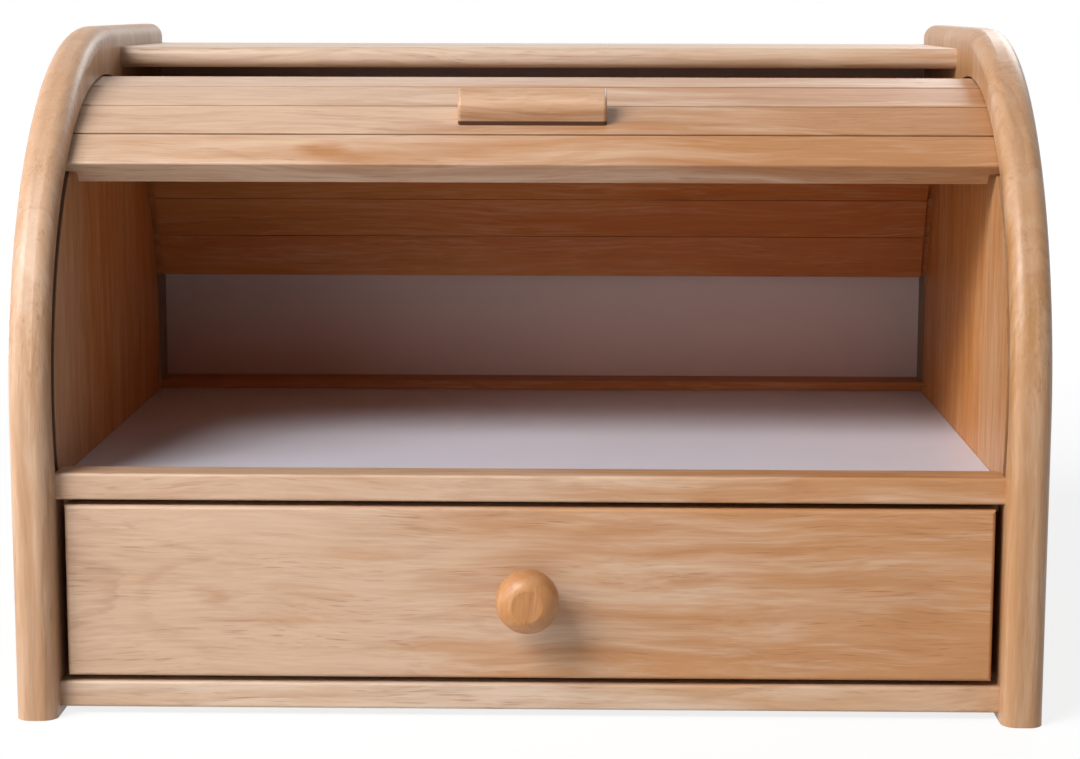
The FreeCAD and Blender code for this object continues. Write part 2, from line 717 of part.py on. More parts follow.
def slat(label, number):
    """A slat with a tongue at each end, drilled for the cords."""
    lead, tail = number == 1, number == SLAT_COUNT
    width, thickness = ("lead_width", "lead_thickness") if lead else ("slat_width", "slat_thickness")
    body = new_body(label)
    strip = slat_section(body, "tongue_section", width, TONGUE_RADIUS)
    feature(body, "Pad", "tongues", strip, f"2 * ({INNER} + tongue_reach)", centred=True)
    full = slat_section(body, "section", width, f"(slat_face_radius - {thickness})")
    middle = feature(body, "Pad", "middle", full, f"2 * ({INNER} - shoulder_gap)", centred=True)
    face = value("slat_face_radius")

    def along_face(edge):
        return near(edge.ZMin, face) and near(edge.ZMax, face) and edge.XLength > edge.YLength

    round_edges(body, middle, "rounding", "slat_rounding", along_face)
    holes = circles(body, "cord_places", "XZ_Plane", CORD_PLACES, "cord_hole_diameter")
    if lead:
        feature(body, "Pocket", "cord_holes", holes, "lead_width")
    else:
        feature(body, "Pocket", "cord_holes", holes, "2 * slat_width", centred=True)
    if tail:
        floor = "-(slat_width / 2 - 3 / 2 * knot_diameter)"
        wide = circles(body, "knot_places", "XZ_Plane", CORD_PLACES, "knot_diameter + knot_play", floor)
        feature(body, "Pocket", "knot_holes", wide, "slat_width")
    if number == 2:
        screws = circles(body, "screw_places", "XY_Plane", HANDLE_SCREWS, SCREW_HOLE)
        feature(body, "Pocket", "screw_holes", screws, f"slat_face_radius + {PAST}", flipped=True)
    set_on_arc(body, slat_angle(number))


def handle():
    """A block with a round nose along its lower edge, screwed to the second slat from behind."""
    body = new_body("tambour_handle")
    low = ("-handle_length / 2", "handle_rise - handle_width / 2")
    high = ("handle_length / 2", "handle_rise + handle_width / 2")
    foot = rectangle(body, "foot", "XY_Plane", low, high, "slat_face_radius")
    block = feature(body, "Pad", "block", foot, "handle_height")
    top = value("slat_face_radius") + value("handle_height")
    back = value("handle_rise + handle_width / 2")

    def on_lower_edge(edge):
        return near(edge.ZMin, top) and edge.YMax < 0

    def on_ends_or_back(edge):
        return near(edge.ZMax, top) and (near(edge.YMin, back) or edge.XLength < edge.YLength)

    nosed = round_edges(body, block, "nose", "handle_nose_radius", on_lower_edge)
    round_edges(body, nosed, "rounding", "handle_rounding", on_ends_or_back)
    holes = circles(body, "screw_places", "XY_Plane", HANDLE_SCREWS, SCREW_HOLE, "slat_face_radius")
    depth = "handle_screw_length - slat_thickness + hole_spare_depth"
    feature(body, "Pocket", "screw_holes", holes, depth, flipped=True)
    set_on_arc(body, slat_angle(2))

    inside = "(slat_face_radius - slat_thickness)"
    head_low = f"({inside} - screw_head_height)"
    screws = []
    for x, y in HANDLE_SCREWS:
        screws.append(pan_screw("handle_screw_length", (x, y, inside), ALONG_Z, (x, y, head_low)))
    set_on_arc(group("handle_screws", screws), slat_angle(2))


def cord_run(number):
    """The two cords' straight runs through one slat, with a knot on each in the tail slat."""
    start = "0" if number == 1 else "-(slat_width + slat_gap) / 2"
    end = "(lead_width + slat_gap) / 2" if number == 1 else "(slat_width + slat_gap) / 2"
    made = []
    if number == SLAT_COUNT:
        end = "(slat_width / 2 - knot_diameter)"
        for x, up in CORD_PLACES:
            knot = document.addObject("Part::Sphere", "knot")
            bind(knot, Radius="knot_diameter / 2")
            made.append(place(knot, x, end, up))
    made += [rod("cord_diameter", f"{end} - ({start})", (x, start, up), ALONG_Y) for x, up in CORD_PLACES]
    return set_on_arc(joined(made, "cord_run"), slat_angle(number))


def cords():
    """Cords through the slats, glued into the lead slat. Each bends where two straight holes meet."""
    runs = [cord_run(number) for number in range(1, SLAT_COUNT + 1)]
    piece(joined(runs, "tambour_cords"), "tambour_cords")


def tambour():
    slat("tambour_lead_slat", 1)
    for number in range(2, SLAT_COUNT + 1):
        slat(f"tambour_slat_{number:02d}", number)
    handle()
    cords()


# ---- drawer --------------------------------------------------------------------------------------


BOTTOM_GROOVE = (f"({DRAWER_BOTTOM_LOW} - panel_play / 2)", f"({DRAWER_BOTTOM_TOP} + panel_play / 2)")
BOTTOM_PIN_SPOTS = [
    (x, DRAWER_BACK_Y, DRAWER_BOTTOM_LOW) for x in ("-bottom_pin_spacing", "0", "bottom_pin_spacing")
]


def drawer_front():
    """The front, grooved behind for the bottom and drilled for the sides' dowels and the knob's screw."""
    body = new_body("drawer_front")
    inner_face = f"-{DRAWER_FRONT_BACK}"
    low, high = (f"-{DRAWER_HALF}", DRAWER_LOW), (DRAWER_HALF, DRAWER_TOP)
    outline = rectangle(body, "outline", "XZ_Plane", low, high, inner_face)
    blank = feature(body, "Pad", "blank", outline, "drawer_front_thickness")
    document.recompute()
    front_place = min(vertex.Y for vertex in blank.Shape.Vertexes)

    def on_face(edge):
        return near(edge.YMax, front_place)

    round_edges(body, blank, "rounding", "drawer_front_rounding", on_face)
    half = f"({DRAWER_INSIDE} + {RAIL_GROOVE})"
    groove = rectangle(
        body, "groove", "XZ_Plane", (f"-{half}", BOTTOM_GROOVE[0]), (half, BOTTOM_GROOVE[1]), inner_face
    )
    feature(body, "Pocket", "bottom_groove", groove, RAIL_GROOVE, flipped=True)
    places = [(mirrored(hand, DRAWER_DOWEL_X), z) for hand in (-1, 1) for z in DRAWER_DOWELS_Z]
    spots = circles(body, "dowel_places", "XZ_Plane", places, DOWEL_HOLE, inner_face)
    feature(body, "Pocket", "dowel_holes", spots, DOWEL_DEPTH, flipped=True)
    hole = circles(body, "knob_hole", "XZ_Plane", [("0", KNOB_Z)], SCREW_HOLE, inner_face)
    feature(body, "Pocket", "screw_hole", hole, f"drawer_front_thickness + {PAST}", flipped=True)


def drawer_side(side, hand):
    """A side with a groove for the bottom; gives back the dowels in its front and back joints."""
    inwards = ALONG_BACK_X if hand > 0 else ALONG_X
    groove = box(
        between(hand, f"({DRAWER_INSIDE} - {PAST})", f"({DRAWER_INSIDE} + {RAIL_GROOVE})"),
        (f"({DRAWER_FRONT_BACK} - {PAST})", f"({DRAWER_END} + {PAST})"),
        BOTTOM_GROOVE,
    )
    front_spots = [(mirrored(hand, DRAWER_DOWEL_X), DRAWER_FRONT_BACK, z) for z in DRAWER_DOWELS_Z]
    front_holes = [rod(DOWEL_HOLE, DOWEL_DEPTH, spot, ALONG_Y) for spot in front_spots]
    dowel_end = mirrored(hand, f"({DRAWER_INSIDE} + {DRAWER_BACK_BITE})")
    hole_end = mirrored(hand, f"({DRAWER_INSIDE} + {DRAWER_BACK_BITE} + hole_spare_depth)")
    back_holes = [
        rod(DOWEL_HOLE, DRAWER_BACK_BITE + f" + {PAST}", (hole_end, DRAWER_BACK_Y, z), inwards)
        for z in DRAWER_DOWELS_Z
    ]
    board(
        f"drawer_side_{side}",
        between(hand, DRAWER_INSIDE, DRAWER_HALF),
        (DRAWER_FRONT_BACK, DRAWER_END),
        (DRAWER_LOW, DRAWER_SIDE_TOP),
        [groove, *front_holes, *back_holes],
    )
    dowels = []
    for z in DRAWER_DOWELS_Z:
        start = (mirrored(hand, DRAWER_DOWEL_X), f"({DRAWER_FRONT_BACK} - dowel_length / 2)", z)
        dowels.append(rod("dowel_diameter", "dowel_length", start, ALONG_Y))
        dowels.append(rod("dowel_diameter", "dowel_length", (dowel_end, DRAWER_BACK_Y, z), inwards))
    return dowels


def drawer_back():
    """The back stands on the bottom panel, between the sides, and the bottom is pinned to it."""
    depth = f"(dowel_length - {DRAWER_BACK_BITE} + hole_spare_depth + {PAST})"
    holes = []
    for hand in (-1, 1):
        start = mirrored(hand, f"({DRAWER_INSIDE} + {PAST})")
        inwards = ALONG_BACK_X if hand > 0 else ALONG_X
        holes += [rod(DOWEL_HOLE, depth, (start, DRAWER_BACK_Y, z), inwards) for z in DRAWER_DOWELS_Z]
    board(
        "drawer_back",
        (f"-{DRAWER_INSIDE}", DRAWER_INSIDE),
        (f"({DRAWER_END} - drawer_back_thickness)", DRAWER_END),
        (DRAWER_BOTTOM_TOP, DRAWER_SIDE_TOP),
        holes + bottom_pin_holes(),
    )


def bottom_pin_holes():
    return [rod(PIN_HOLE, "pin_length + hole_spare_depth", spot, ALONG_Z) for spot in BOTTOM_PIN_SPOTS]


def drawer_bottom():
    half = f"({DRAWER_INSIDE} + panel_groove_depth)"
    board(
        "drawer_bottom",
        (f"-{half}", half),
        (f"({DRAWER_FRONT_BACK} - panel_groove_depth)", DRAWER_END),
        (DRAWER_BOTTOM_LOW, DRAWER_BOTTOM_TOP),
        bottom_pin_holes(),
    )
    head_low = f"({DRAWER_BOTTOM_LOW} - pin_head_height)"
    pins = [pin(spot, ALONG_Z, (spot[0], spot[1], head_low)) for spot in BOTTOM_PIN_SPOTS]
    group("drawer_bottom_pins", pins)


def swell(out, along):
    """The radius of an arc that starts along the turning axis and gets a way out over a length."""
    return f"(({out} ^ 2 + {along} ^ 2) / 2 / {out})"


def knob():
    """A turned knob on the drawer front, worked along its own Y, which points back into the front.

    From the foot, a hollow neck swells out to the head, whose rounded rim runs into a flat crown.
    """
    body = new_body("drawer_knob")
    hole = f"({SCREW_HOLE} / 2)"
    hole_end = "-(knob_screw_length - drawer_front_thickness + hole_spare_depth)"
    foot, neck = "(knob_foot_diameter / 2)", "(knob_neck_diameter / 2)"
    head, crown = "(knob_diameter / 2)", "(knob_crown_diameter / 2)"
    shoulder = "(knob_head_height - knob_length)"
    corners = [
        (hole, "0"),
        (foot, "0"),
        (foot, "-knob_foot_height"),
        (neck, f"(({shoulder} - knob_foot_height) / 2)"),
        (head, shoulder),
        (head, f"({shoulder} - knob_rim_height)"),
        (crown, "-knob_length"),
        ("0", "-knob_length"),
        ("0", hole_end),
        (hole, hole_end),
    ]
    half_neck = f"((-{shoulder} - knob_foot_height) / 2)"
    bends = {
        2: (swell(f"({foot} - {neck})", half_neck), -1),
        3: (swell(f"({head} - {neck})", half_neck), -1),
        5: (swell(f"({head} - {crown})", "(knob_head_height - knob_rim_height)"), 1),
    }
    section = polygon(body, "section", "XY_Plane", corners, bends=bends)
    turned = body.newObject("PartDesign::Revolution", "turned")
    turned.Profile = section
    turned.ReferenceAxis = (section, ["V_Axis"])
    turned.Angle = 360
    place(body, "0", FACE, KNOB_Z)
    spot = ("0", DRAWER_FRONT_BACK, KNOB_Z)
    head_spot = ("0", f"({DRAWER_FRONT_BACK} + screw_head_height)", KNOB_Z)
    group("knob_screw", [pan_screw("knob_screw_length", spot, ALONG_BACK_Y, head_spot)])


def drawer():
    drawer_front()
    dowels = drawer_side("left", -1) + drawer_side("right", 1)
    group("drawer_dowels", dowels)
    drawer_back()
    drawer_bottom()
    knob()


# ---- build and write -----------------------------------------------------------------------------

case()
tambour()
drawer()
document.recompute()

for item in document.Objects:
    solid_check(item)
for item in pieces:
    if item.Shape.isNull() or not item.Shape.isValid() or not item.Shape.Solids:
        raise RuntimeError(f"{item.Label}: no valid solid")

os.makedirs("parts", exist_ok=True)
for item in pieces:
    item.Shape.exportStep(f"parts/{item.Label}.step")
print(len(pieces), "pieces")
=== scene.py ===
"""Finish and daylight studio for a wooden roll-top bread box with a drawer."""

import json
import math

import bmesh
import bpy
from bpy.props import FloatProperty, FloatVectorProperty, PointerProperty
from mathutils import Matrix, Vector


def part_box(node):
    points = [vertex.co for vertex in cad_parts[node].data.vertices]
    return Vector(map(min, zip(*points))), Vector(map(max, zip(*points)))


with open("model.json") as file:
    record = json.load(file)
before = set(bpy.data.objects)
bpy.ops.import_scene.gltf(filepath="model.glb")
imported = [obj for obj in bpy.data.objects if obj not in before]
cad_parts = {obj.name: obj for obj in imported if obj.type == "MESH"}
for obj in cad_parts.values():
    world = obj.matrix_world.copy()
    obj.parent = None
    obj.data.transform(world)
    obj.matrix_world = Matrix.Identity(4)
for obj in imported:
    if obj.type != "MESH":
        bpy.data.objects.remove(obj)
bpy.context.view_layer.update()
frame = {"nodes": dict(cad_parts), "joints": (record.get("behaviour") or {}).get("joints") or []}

bl_info = {
    "name": "Roll-Top Bread Box",
    "version": (1, 0, 0),
    "blender": (4, 5, 0),
    "location": "View3D > Sidebar > Bread Box",
    "description": "Dresses a packed bread box in lacquered wood, white boards and steel, with a stage",
    "category": "Object",
}

MM = 0.001
TO_MM = (1.0 / MM, 1.0 / MM, 1.0 / MM)
EVERYWHERE = 1000.0 * MM  # further than any place in the box
UP = (0.0, 0.0, 1.0)
TO_FRONT = (0.0, -1.0, 0.0)
SLATS = ["tambour_lead_slat"] + [f"tambour_slat_{number:02d}" for number in range(2, 13)]
TAMBOUR_AXIS = [joint["pos_m"] for joint in frame["joints"] if joint["name"] == "tambour_roll"][0]

# The turns that lay a board's length, which the grain follows, along X.
ALONG_X = (0.0, 0.0, 0.0)
ALONG_Y = (0.0, 0.0, -math.pi / 2)
ALONG_Z = (0.0, math.pi / 2, 0.0)
GRAIN_AXIS = {ALONG_X: (1.0, 0.0, 0.0), ALONG_Y: (0.0, 1.0, 0.0), ALONG_Z: (0.0, 0.0, 1.0)}

# Marks in the wood: how often they come in a millimetre, along the grain and then across it twice,
# how much fine detail they have, and how rough it is. The marks along the rings have one number for
# how often, and their detail.
DRIFT = ((0.007, 0.016, 0.016), 2.0, 0.5)
RAGGED_RING = ((0.02, 0.3, 0.3), 2.0, 0.5)
PATCH = ((0.006, 0.03, 0.03), 3.0, 0.55)
STREAK = ((0.012, 0.13, 0.13), 3.0, 0.6)
FLECK = ((0.035, 0.7, 0.7), 3.0, 0.65)
PORE = ((0.06, 1.3, 1.3), 1.0, 0.5)
PORE_CROWD = ((0.012, 0.09, 0.09), 2.0, 0.5)
RING_AGE = (0.31, 1.0)
RING_BAND = (0.13, 2.0)
NOISE_MIDDLE = 0.5

# Where the marks begin and end. A knot's are in knot sizes.
KNOT_EDGE = (0.2, 1.0)
SWIRL_EDGE = (0.2, 3.0)
LATE_WOOD_START = (0.3, 0.85)
LATE_WOOD_END = (0.85, 1.0)
AGE_EDGE = (0.35, 0.65)
PORE_EDGE = (0.56, 0.74)
CROWD_EDGE = (0.36, 0.62)
END_EDGE = (0.6, 0.95)
CALM_EDGE = (0.1, 0.7)

# How strong the marks are. Calm is what is left of them on end grain.
DRIFT_REACH = (0.0, 18.0, 18.0)
RAGGED_REACH = 0.8
KNOT_STRETCH = (0.4, 1.0, 1.0)
KNOT_PUSH = 9.0
KNOT_WARMTH = 0.7
KNOT_SHADE = 0.22
TONE_SPREAD = 3.0
STREAK_SHARE = 0.8
CALM = 0.3
END_SHADE = 0.12
LIFT = -0.7
LIFT_COLOUR = (0.95, 0.80, 0.62, 1.0)

# Gloss and relief of the wood. A relief is its strength and its height.
BARE_ROUGHNESS = 0.42
PORE_ROUGHNESS = 0.15
FLECK_ROUGHNESS = 0.16
COAT_ROUGHNESS = 0.32
FLECK_HEIGHT = 0.35
PORE_DEPTH = 0.5
WOOD_RELIEF = (0.35, 0.3 * MM)

# The side panels' staves, with lengths in millimetres.
STAVE_SHIFT = (900.0, 300.0, 240.0)
STAVE_TONES = 0.4
GLUE_LINE = 0.13
GLUE_EDGE = (0.05, 0.45)

# Painted shade on the side panels: inside, in the groove and behind it. The groove's reach goes past its
# floor.
FRONT_OF_SHADE = (-110.0 * MM, -20.0 * MM)
SHADE_AT_FRONT = 0.3
GROOVE_MARGIN = 1.5 * MM
GROOVE_MOUTH = (0.2 * MM, 0.8 * MM)
GROOVE_REACH = 11.0 * MM
BEHIND_GROOVE = (119.0 * MM, 123.0 * MM)
SHADE_BEHIND = 0.7
SHADE_BEHIND_TOP = (190.0 * MM, 200.0 * MM)

# Where painted shade darkens the slats' seams and the corner under the handle.
SEAM_TURN = (0.45, 0.95)
SEAM_SHADE = 0.65
CORNER_HEIGHT = 1.5 * MM
CORNER_EDGE = 0.6 * MM
CORNER_SHADE = 0.97

# Knots: in the lead slat, how far right of the middle and how far out of the slat's centre, and in
# the drawer's front, its place in millimetres.
LEAD_KNOT_RIGHT = -83.6 * MM
LEAD_KNOT_OUT = 4.0 * MM
DRAWER_KNOT = (-124.6, -122.0, 47.5)

# Marks on the boards, the steel and the cord, as in the wood.
BOARD_CLOUD = ((0.012, 0.012, 0.012), 3.0, 0.6)
BOARD_FIBRE = ((0.9, 0.9, 0.9), 4.0, 0.7)
ORANGE_PEEL = ((0.35, 0.35, 0.35), 2.0, 0.5)
STEEL_CLOUD = ((0.8, 0.8, 0.8), 3.0, 0.6)
CORD_LAY = ((3.0, 1.6, 1.6), 2.0, 0.6)
CLOUD_EDGE = (0.3, 0.7)
FACE_EDGE = (0.6, 0.8)
CLOUD_SHADE = 0.12

# Their second colours, which cloud the white face, the fibres, the steel and the cord.
GREY_CLOUD = (0.52, 0.47, 0.45, 1.0)
DARK_FIBRE = (0.16, 0.085, 0.04, 1.0)
DULL_STEEL = (0.34, 0.33, 0.30, 1.0)
DARK_CORD = (0.42, 0.36, 0.26, 1.0)
WHITE = (1.0, 1.0, 1.0, 1.0)

# Their roughness, from where a mark is low to where it is high, and their relief. A board's
# roughness goes from its fibres to its white face.
BOARD_ROUGHNESS = (0.75, 0.38)
BOARD_SHINE = 0.25
STEEL_ROUGHNESS = (0.26, 0.44)
CORD_ROUGHNESS = (0.7, 0.85)
BOARD_RELIEF = (0.12, 0.4 * MM)
STEEL_RELIEF = (0.1, 0.1 * MM)
CORD_RELIEF = (0.4, 0.2 * MM)

# The lamps' names and places, and the place that they shine at, in metres.
LAMPS = {
    "key": ("Key Lamp", (-1.13, -1.62, 1.98)),
    "window": ("Window Lamp", (-1.60, -1.30, 1.35)),
    "low": ("Low Lamp", (-1.20, -2.00, 0.42)),
    "side": ("Side Lamp", (-2.10, -0.55, 0.45)),
    "behind": ("Back Lamp", (0.90, 1.90, 1.30)),
}
LAMP_WIDTH = 1.0
LAMP_AIM = (0.0, -0.03, 0.12)

# The rest of the stage. The floor glows for the camera, more so further out, and the sky is light
# above and at the right.
SENSOR_WIDTH = 36.0
FLOOR_HALF_WIDTH = 6.0
FLOOR_GLOW = 1.15
GLOW_EDGE = (0.4, 1.6)
GLOW_SHARE = (0.72, 0.9)
SKY_RISE = (0.15, 0.85)
SKY_TO_RIGHT = (-0.5, 0.7)
FIRST_BOUNCE = 0.5  # a ray that has left a matt wall counts more than this


# ---- sizes and colours that a user may change -----------------------------------------------------


def colour(name, description, default):
    return FloatVectorProperty(
        name=name, description=description, default=default, subtype="COLOR", size=3, min=0.0, max=1.0
    )


def length(name, description, default):
    return FloatProperty(name=name, description=description, default=default, unit="LENGTH", min=0.0)


def angle(name, description, degrees):
    default = math.radians(degrees)
    return FloatProperty(name=name, description=description, default=default, subtype="ANGLE")


def power(name, description, default):
    return FloatProperty(name=name, description=description, default=default, unit="POWER", min=0.0)


def share(name, description, default, high=1.0):
    return FloatProperty(name=name, description=description, default=default, min=0.0, max=high)


class BreadBoxWood(bpy.types.PropertyGroup):
    pale: colour("Pale wood", "Light colour of the lacquered wood", (0.565, 0.365, 0.240))
    warm: colour("Warm wood", "Main colour of the lacquered wood", (0.475, 0.222, 0.085))
    # These paler colours paint the sheen on the top board and the bounce light on the base rail.
    lamplit: colour("Blond wood", "Light colour of the top board and base rail", (0.610, 0.440, 0.320))
    lamplit_warm: colour("Warm blond", "Main colour of the top board and base rail", (0.540, 0.310, 0.165))
    slat: colour("Slat wood", "Main colour of the tambour's slats", (0.415, 0.182, 0.062))
    deep: colour("Deep wood", "Main colour of the side panels", (0.425, 0.208, 0.078))
    # The inside colours below are painted shade: darker, more saturated wood where the box's inside lies in
    # shade.
    shadowed_pale: colour("Pale oiled wood", "Light colour of the sides' inside faces", (0.620, 0.290, 0.090))
    shadowed: colour("Oiled wood", "Main colour of the sides' inside faces", (0.560, 0.190, 0.030))
    deep_shade_pale: colour("Pale aged wood", "Light colour of the slats' inside faces", (0.520, 0.190, 0.045))
    deep_shade: colour("Aged wood", "Main colour of the slats' inside faces", (0.480, 0.135, 0.020))
    dark: colour("Dark grain", "Colour of late wood, streaks and pores", (0.220, 0.070, 0.018))
    turned: colour("Turned wood", "Main colour of the knob", (0.480, 0.205, 0.060))
    # This colour paints shade in the groove, the slats' seams and the corner under the handle.
    painted_shade: colour("Wax", "Colour of the waxed grooves, seams and corners", (0.060, 0.018, 0.006))
    ring_spacing: length("Ring spacing", "Distance between growth rings", 4.2 * MM)
    stave_width: length("Stave width", "Width of the strips that the side panels are glued from", 43.0 * MM)
    lacquer: share("Lacquer", "Weight of the clear coat", 0.35)


class BreadBoxBoards(bpy.types.PropertyGroup):
    white: colour("White face", "Colour of the shelf's and bottoms' good face", (0.670, 0.655, 0.730))
    # The back face's pink is painted warm light, bounced from the wood inside the box.
    back: colour("Back face", "Colour of the back panel's good face", (0.840, 0.640, 0.590))
    fibre: colour("Fibre", "Colour of the boards' edges and backs", (0.360, 0.230, 0.130))
    steel: colour("Steel", "Colour of screws and pins", (0.560, 0.560, 0.550))
    cord: colour("Cord", "Colour of the tambour's cords", (0.700, 0.660, 0.560))


class BreadBoxStage(bpy.types.PropertyGroup):
    lens: length("Lens", "Focal length on a 36 mm wide sensor", 82.54 * MM)
    pitch: angle("Pitch", "How far the camera looks down", 8.652)
    yaw: angle("Yaw", "How far the camera looks to the left", 1.095)
    roll: angle("Roll", "How far the camera leans", 0.109)
    place: FloatVectorProperty(
        name="Camera place",
        description="Where the camera stands",
        default=(0.0221, -1.0629, 0.2774),
        subtype="TRANSLATION",
    )
    key: power("Key", "Power of the high lamp at the front left", 45.0)
    window: power("Window", "Power of the lower lamp at the left", 29.5)
    low: power("Low light", "Power of the lamp that looks in under the tambour", 4.5)
    side: power("Side light", "Power of the lamp beside the box", 13.5)
    behind: power("Back light", "Power of the lamp behind the box", 14.0)
    sky: share("Sky", "Light from above at the right", 0.42, 4.0)
    ground: colour("Ground", "Colour of the floor", (0.60, 0.60, 0.60))


def opaque(tint):
    """A colour with its fourth channel, as the nodes take it."""
    return (*tint, 1.0)


# ---- node trees -----------------------------------------------------------------------------------


class Tree:
    """Adds nodes to a node tree. An input given a socket is linked, and one given a value is set."""

    def __init__(self, tree):
        self.tree = tree

    def add(self, kind, inputs=None, **settings):
        node = self.tree.nodes.new(kind)
        for name, value in settings.items():
            setattr(node, name, value)
        for name, value in (inputs or {}).items():
            self.feed(node.inputs[name], value)
        return node

    def feed(self, socket, value):
        if isinstance(value, bpy.types.NodeSocket):
            self.tree.links.new(value, socket)
        else:
            socket.default_value = value

    def feed_all(self, node, terms):
        for socket, term in zip(node.inputs, terms):
            self.feed(socket, term)

    def math(self, operation, *terms, clamp=False):
        """The result of a Math node."""
        node = self.add("ShaderNodeMath", operation=operation, use_clamp=clamp)
        self.feed_all(node, terms)
        return node.outputs[0]

    def vector(self, operation, *terms):
        """The result of a Vector Math node."""
        node = self.add("ShaderNodeVectorMath", operation=operation)
        self.feed_all(node, terms)
        return node.outputs["Value" if operation in ("LENGTH", "DOT_PRODUCT") else "Vector"]

    def object_place(self):
        return self.add("ShaderNodeTexCoord").outputs["Object"]

    def normal(self):
        return self.add("ShaderNodeNewGeometry").outputs["Normal"]

    def split(self, vector):
        return self.add("ShaderNodeSeparateXYZ", {"Vector": vector}).outputs

    def noise(self, vector, mark, output="Fac"):
        scale, detail, roughness = mark
        scaled = self.vector("MULTIPLY", vector, scale)
        inputs = {"Vector": scaled, "Scale": 1.0, "Detail": detail, "Roughness": roughness}
        return self.add("ShaderNodeTexNoise", inputs).outputs[output]

    def noise_along(self, value, mark):
        """Noise along one number, such as a count of growth rings."""
        scale, detail = mark
        inputs = {"W": value, "Scale": scale, "Detail": detail}
        return self.add("ShaderNodeTexNoise", inputs, noise_dimensions="1D").outputs[0]

    def step(self, value, low, high, to_low=0.0, to_high=1.0):
        """A smooth step from low to high."""
        node = self.add("ShaderNodeMapRange", interpolation_type="SMOOTHSTEP")
        self.feed_all(node, (value, low, high, to_low, to_high))
        return node.outputs[0]

    def blend(self, factor, first, second):
        node = self.add("ShaderNodeMix", data_type="RGBA")
        colours = [socket for socket in node.inputs if socket.type == "RGBA"]
        self.feed(node.inputs[0], factor)
        self.feed(colours[0], first)
        self.feed(colours[1], second)
        return [socket for socket in node.outputs if socket.type == "RGBA"][0]

    def bump(self, strength, distance, height):
        inputs = {"Strength": strength, "Distance": distance, "Height": height}
        return self.add("ShaderNodeBump", inputs).outputs[0]


def new_group(name, inputs, outputs):
    """A shader node group with named sockets; inputs are (name, kind, default)."""
    group = bpy.data.node_groups.new(name, "ShaderNodeTree")
    for socket, kind, default in inputs:
        made = group.interface.new_socket(socket, in_out="INPUT", socket_type=f"NodeSocket{kind}")
        if default is not None:
            made.default_value = default
    for socket, kind in outputs:
        group.interface.new_socket(socket, in_out="OUTPUT", socket_type=f"NodeSocket{kind}")
    tree = Tree(group)
    return tree, tree.add("NodeGroupInput").outputs, tree.add("NodeGroupOutput").inputs


def knot_in(tree, given):
    """How much a place is in the knot, and how much the grain swirls round it."""
    away = tree.vector("SUBTRACT", given["Vector"], given["Knot Place"])
    away = tree.vector("LENGTH", tree.vector("MULTIPLY", away, KNOT_STRETCH))
    away = tree.math("DIVIDE", away, given["Knot Size"])
    return tree.step(away, *KNOT_EDGE, KNOT_WARMTH, 0.0), tree.step(away, *SWIRL_EDGE, 1.0, 0.0)


def growth_rings(tree, given, vector, swirl):
    """A count of the rings out to a place, and how much late wood is there."""
    along, across, depth = tree.split(vector)
    across = tree.math("SUBTRACT", across, given["Pith Across"])
    depth = tree.math("SUBTRACT", depth, given["Pith Depth"])
    squares = tree.math("ADD", tree.math("MULTIPLY", across, across), tree.math("MULTIPLY", depth, depth))
    radius = tree.math("MULTIPLY_ADD", along, given["Lean"], tree.math("SQRT", squares))
    radius = tree.math("MULTIPLY_ADD", swirl, KNOT_PUSH, radius)
    ragged = tree.noise(vector, RAGGED_RING)
    rings = tree.math("DIVIDE", radius, given["Ring Spacing"])
    rings = tree.math("MULTIPLY_ADD", ragged, RAGGED_REACH, rings)
    late = tree.math("FRACT", rings)
    ended = tree.step(late, *LATE_WOOD_END, 1.0, 0.0)
    late = tree.math("MULTIPLY", tree.step(late, *LATE_WOOD_START), ended)
    age = tree.noise_along(rings, RING_AGE)
    return rings, tree.math("MULTIPLY", late, tree.step(age, *AGE_EDGE))


